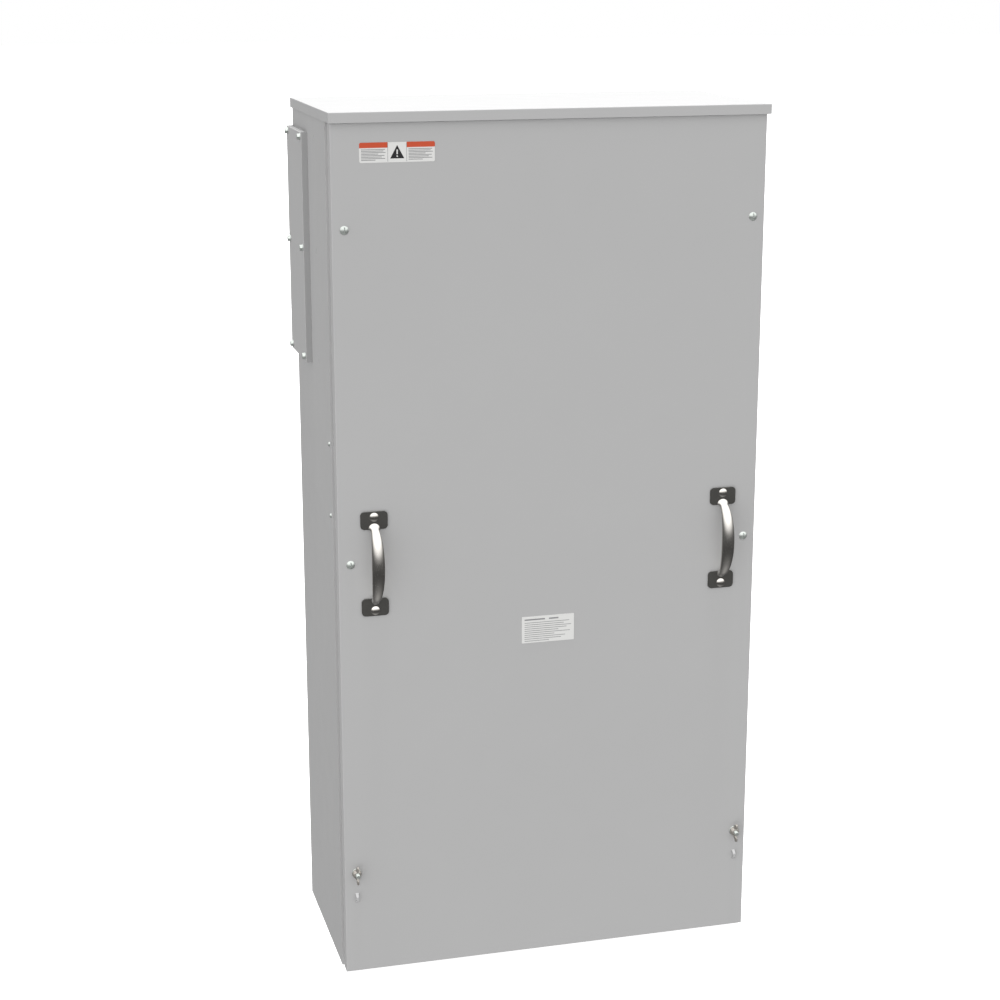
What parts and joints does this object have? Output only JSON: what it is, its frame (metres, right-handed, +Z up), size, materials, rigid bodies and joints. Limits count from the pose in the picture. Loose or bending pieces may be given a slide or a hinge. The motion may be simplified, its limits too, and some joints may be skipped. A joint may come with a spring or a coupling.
{
  "type": "automatic transfer switch",
  "caption": "Wall-mounted outdoor automatic transfer switch: drip-roof steel cabinet with lift-off front cover and side access cover over a double-throw contact mechanism, breaker and controls",
  "frame": {"origin": "bottom centre of the enclosure body, on the plane the cabinet stands on", "axes": "X to the right seen from the front, Y from the front cover to the wall, Z up"},
  "size_m": [0.6265, 0.3285, 1.235],
  "materials": {
    "painted_sheet": "light grey satin powder coat",
    "white_panel": "white enamel",
    "zinc_steel": "zinc plated steel",
    "bright_strip": "bright stainless strip",
    "cast_zinc": "nickel plated die-cast zinc",
    "handle_metal": "polished nickel plate",
    "black_backing": "black moulded plastic",
    "label_stock": "printed vinyl",
    "foam": "closed-cell foam",
    "black_moulding": "thermoset moulding",
    "red_fibre": "red glass polyester sheet",
    "copper": "bare copper bar",
    "aluminium_lug": "tin plated aluminium",
    "bronze": "sintered bronze",
    "winding": "varnished winding and tape",
    "laminated_core": "varnished laminations",
    "grey_moulding": "grey moulded plastic",
    "red_plastic": "red moulded plastic",
    "green_plastic": "green moulded plastic",
    "porcelain": "brown insulator",
    "terminal_plastic": "terminal block moulding",
    "loom": "laced wire loom"
  },
  "bodies": {
    "enclosure": {"enclosure_body": "painted_sheet", "base_pan": "painted_sheet", "gland_plate": "painted_sheet", "roof": "painted_sheet", "front_collar": "painted_sheet", "mounting_panel": "white_panel", "panel_standoffs": "zinc_steel", "device_screws": "zinc_steel", "cover_studs": "zinc_steel", "cover_nut_clips": "zinc_steel", "side_bracket": "zinc_steel", "side_bracket_screws": "zinc_steel", "transfer_base": "black_moulding", "normal_bars": "copper", "emergency_bars": "copper", "load_bars": "copper", "phase_barriers": "red_fibre", "arc_chutes": "grey_moulding", "side_plates": "zinc_steel", "shaft_bushes": "bronze", "solenoid_frame": "zinc_steel", "solenoid_coil": "winding", "auxiliary_switches": "black_moulding", "cable_lugs": "aluminium_lug", "lug_screws": "zinc_steel", "breaker_base": "black_moulding", "breaker_cover": "black_moulding", "neutral_bar": "aluminium_lug", "bar_insulators": "porcelain", "ground_bar": "aluminium_lug", "controller_housing": "grey_moulding", "fuse_block": "black_moulding", "control_transformer": "laminated_core", "terminal_strip": "terminal_plastic", "wiring_harness": "loom"},
    "cover": {"front_cover": "painted_sheet", "cover_gasket": "foam", "handle_plates": "black_backing", "handle_grips": "handle_metal", "handle_screws": "handle_metal", "seal_loops": "bright_strip", "cover_labels": "label_stock", "cover_screws": "zinc_steel", "stud_washers": "zinc_steel"},
    "wing_nut_left": {"wing_nut_left": "cast_zinc"},
    "wing_nut_right": {"wing_nut_right": "cast_zinc"},
    "side_cover": {"side_cover": "painted_sheet", "side_gasket": "foam", "side_cover_screws": "zinc_steel"},
    "transfer_shaft": {"main_shaft": "zinc_steel", "crossbar": "black_moulding", "moving_contacts": "copper", "manual_handle": "red_plastic", "position_indicator": "green_plastic"},
    "plunger": {"solenoid_plunger": "zinc_steel"},
    "breaker_toggle": {"breaker_toggle": "grey_moulding"},
    "trip_button": {"trip_button": "red_plastic"},
    "test_button": {"test_button": "green_plastic"},
    "selector_knob": {"selector_knob": "black_moulding"},
    "fuse_pullout": {"fuse_pullout": "grey_moulding"}
  },
  "joints": [
    {"name": "cover_pull", "type": "slide", "parent": "enclosure", "child": "cover", "axis": [0, -1, 0], "range_m": [0, 0.5]},
    {"name": "wing_nut_left_turn", "type": "hinge", "parent": "cover", "child": "wing_nut_left", "pos_m": [-0.288, -0.1474, 0.1598], "axis": [0, -1, 0], "continuous": true},
    {"name": "wing_nut_right_turn", "type": "hinge", "parent": "cover", "child": "wing_nut_right", "pos_m": [0.288, -0.1474, 0.1598], "axis": [0, -1, 0], "continuous": true},
    {"name": "side_cover_pull", "type": "slide", "parent": "enclosure", "child": "side_cover", "axis": [-1, 0, 0], "range_m": [0, 0.3]},
    {"name": "shaft_transfer", "type": "hinge", "parent": "enclosure", "child": "transfer_shaft", "pos_m": [0, 0.06, 0.75], "axis": [1, 0, 0], "range_deg": [0, 40]},
    {"name": "plunger_stroke", "type": "slide", "parent": "enclosure", "child": "plunger", "axis": [0, 0, 1], "range_m": [-0.02396, 0]},
    {"name": "toggle_throw", "type": "hinge", "parent": "enclosure", "child": "breaker_toggle", "pos_m": [0, 0.032, 1.04], "axis": [1, 0, 0], "range_deg": [0, 36]},
    {"name": "trip_press", "type": "slide", "parent": "enclosure", "child": "trip_button", "axis": [0, 1, 0], "range_m": [0, 0.003], "stiffness_N_per_m": 300},
    {"name": "test_press", "type": "slide", "parent": "enclosure", "child": "test_button", "axis": [0, 1, 0], "range_m": [0, 0.003], "stiffness_N_per_m": 300},
    {"name": "selector_turn", "type": "hinge", "parent": "enclosure", "child": "selector_knob", "pos_m": [0.195, 0.0575, 0.936], "axis": [0, -1, 0], "range_deg": [-60, 60]},
    {"name": "fuse_pull", "type": "slide", "parent": "enclosure", "child": "fuse_pullout", "axis": [0, -1, 0], "range_m": [0, 0.05]}
  ],
  "couplings": [
    {"joint": "plunger_stroke", "follows": "shaft_transfer", "m_per_rad": -0.034294}
  ]
}
